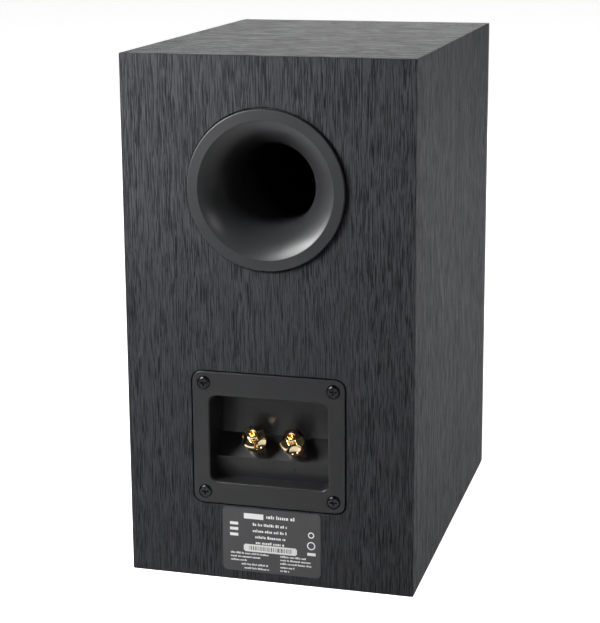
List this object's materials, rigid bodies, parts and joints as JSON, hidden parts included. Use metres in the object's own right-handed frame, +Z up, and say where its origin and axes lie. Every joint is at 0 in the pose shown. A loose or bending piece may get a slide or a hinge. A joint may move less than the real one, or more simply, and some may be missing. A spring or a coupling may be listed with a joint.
{
  "type": "bookshelf speaker",
  "caption": "Bookshelf loudspeaker in a black ash box: a cone and a dome driver in front, a flared reflex port and a recessed terminal cup with gold binding posts behind.",
  "frame": {"origin": "on the surface that it stands on, under the middle of the whole object's box", "axes": "+Z up; the drivers face -Y and the port and terminals face +Y; +X is to the right seen from the front"},
  "size_m": [0.18, 0.2605, 0.325],
  "materials": {
    "cabinet_vinyl": "black ash effect vinyl over fibreboard, satin, with an embossed grain",
    "baffle_black": "satin black painted fibreboard",
    "raw_board": "bare fibreboard",
    "port_plastic": "satin moulded plastic",
    "cup_plastic": "semi-gloss moulded plastic",
    "foam_black": "closed-cell foam",
    "screw_black": "black oxide steel",
    "gold_plate": "polished gold plate",
    "red_plastic": "clear-coated red",
    "black_plastic": "gloss black",
    "zinc_steel": "zinc plate",
    "tinned_brass": "tin plate",
    "label_film": "printed film",
    "basket_paint": "black painted casting",
    "trim_satin": "satin black",
    "surround_rubber": "soft black rubber",
    "cone_poly": "filled polypropylene",
    "coil_copper": "enamelled copper",
    "former_alu": "bare foil",
    "spider_cloth": "resin-treated cloth",
    "ferrite": "sintered ferrite",
    "dome_silk": "coated silk",
    "board_resin": "glass-fibre laminate",
    "bobbin_plastic": "moulded bobbin",
    "capacitor_film": "wrapped film",
    "cement": "white cement",
    "lead_sleeve": "flexible insulation",
    "fibre_white": "polyester fibre"
  },
  "bodies": {
    "cabinet": {"top_panel": "cabinet_vinyl", "bottom_panel": "cabinet_vinyl", "left_panel": "cabinet_vinyl", "right_panel": "cabinet_vinyl", "rear_panel": "cabinet_vinyl", "front_baffle": "baffle_black", "window_brace": "raw_board", "damping_left": "fibre_white", "damping_right": "fibre_white", "damping_top": "fibre_white", "port_flare": "port_plastic", "port_tube": "port_plastic", "port_inner_flare": "port_plastic", "port_gasket": "foam_black", "terminal_cup": "cup_plastic", "cup_gasket": "foam_black", "cup_screws": "screw_black", "negative_post_stud": "gold_plate", "positive_post_stud": "gold_plate", "post_nuts": "zinc_steel", "post_solder_tags": "tinned_brass", "rating_label": "label_film", "woofer_basket": "basket_paint", "woofer_trim_ring": "trim_satin", "woofer_gasket": "foam_black", "woofer_surround": "surround_rubber", "woofer_spider": "spider_cloth", "woofer_top_plate": "zinc_steel", "woofer_magnet": "ferrite", "woofer_yoke": "zinc_steel", "woofer_screws": "screw_black", "tweeter_faceplate": "trim_satin", "tweeter_gasket": "foam_black", "tweeter_suspension": "dome_silk", "tweeter_top_plate": "zinc_steel", "tweeter_magnet": "ferrite", "tweeter_yoke": "zinc_steel", "tweeter_rear_chamber": "bobbin_plastic", "tweeter_screws": "screw_black", "crossover_board": "board_resin", "board_standoffs": "bobbin_plastic", "board_screws": "zinc_steel", "inductor_bobbins": "bobbin_plastic", "inductor_windings": "coil_copper", "capacitors": "capacitor_film", "resistors": "cement", "input_leads": "lead_sleeve", "woofer_leads": "lead_sleeve", "tweeter_leads": "lead_sleeve"},
    "woofer_cone_group": {"woofer_cone": "cone_poly", "woofer_dust_cap": "cone_poly", "woofer_coil_former": "former_alu", "woofer_voice_coil": "coil_copper"},
    "tweeter_dome_group": {"tweeter_dome": "dome_silk", "tweeter_voice_coil": "coil_copper"},
    "negative_clamp": {"negative_clamp_ring": "black_plastic"},
    "negative_knob": {"negative_post_knob": "gold_plate"},
    "positive_clamp": {"positive_clamp_ring": "red_plastic"},
    "positive_knob": {"positive_post_knob": "gold_plate"}
  },
  "joints": [
    {"name": "woofer_cone_slide", "type": "slide", "parent": "cabinet", "child": "woofer_cone_group", "axis": [0, -1, 0], "range_m": [-0.005, 0.005], "stiffness_N_per_m": 900, "deforming": ["woofer_surround", "woofer_spider"]},
    {"name": "tweeter_dome_slide", "type": "slide", "parent": "cabinet", "child": "tweeter_dome_group", "axis": [0, -1, 0], "range_m": [-0.0004, 0.0004], "stiffness_N_per_m": 600, "deforming": ["tweeter_suspension"]},
    {"name": "negative_clamp_slide", "type": "slide", "parent": "cabinet", "child": "negative_clamp", "axis": [0, 0.7071, 0.7071], "range_m": [0, 0.006]},
    {"name": "negative_knob_turn", "type": "hinge", "parent": "negative_clamp", "child": "negative_knob", "pos_m": [0.01225, 0.11682, 0.08897], "axis": [0, 0.7071, 0.7071], "range_deg": [0, 2160]},
    {"name": "positive_clamp_slide", "type": "slide", "parent": "cabinet", "child": "positive_clamp", "axis": [0, 0.7071, 0.7071], "range_m": [0, 0.006]},
    {"name": "positive_knob_turn", "type": "hinge", "parent": "positive_clamp", "child": "positive_knob", "pos_m": [-0.01225, 0.11682, 0.08897], "axis": [0, 0.7071, 0.7071], "range_deg": [0, 2160]}
  ],
  "couplings": [
    {"joint": "negative_knob_turn", "follows": "negative_clamp_slide", "rad_per_m": 6283.2},
    {"joint": "positive_knob_turn", "follows": "positive_clamp_slide", "rad_per_m": 6283.2}
  ]
}
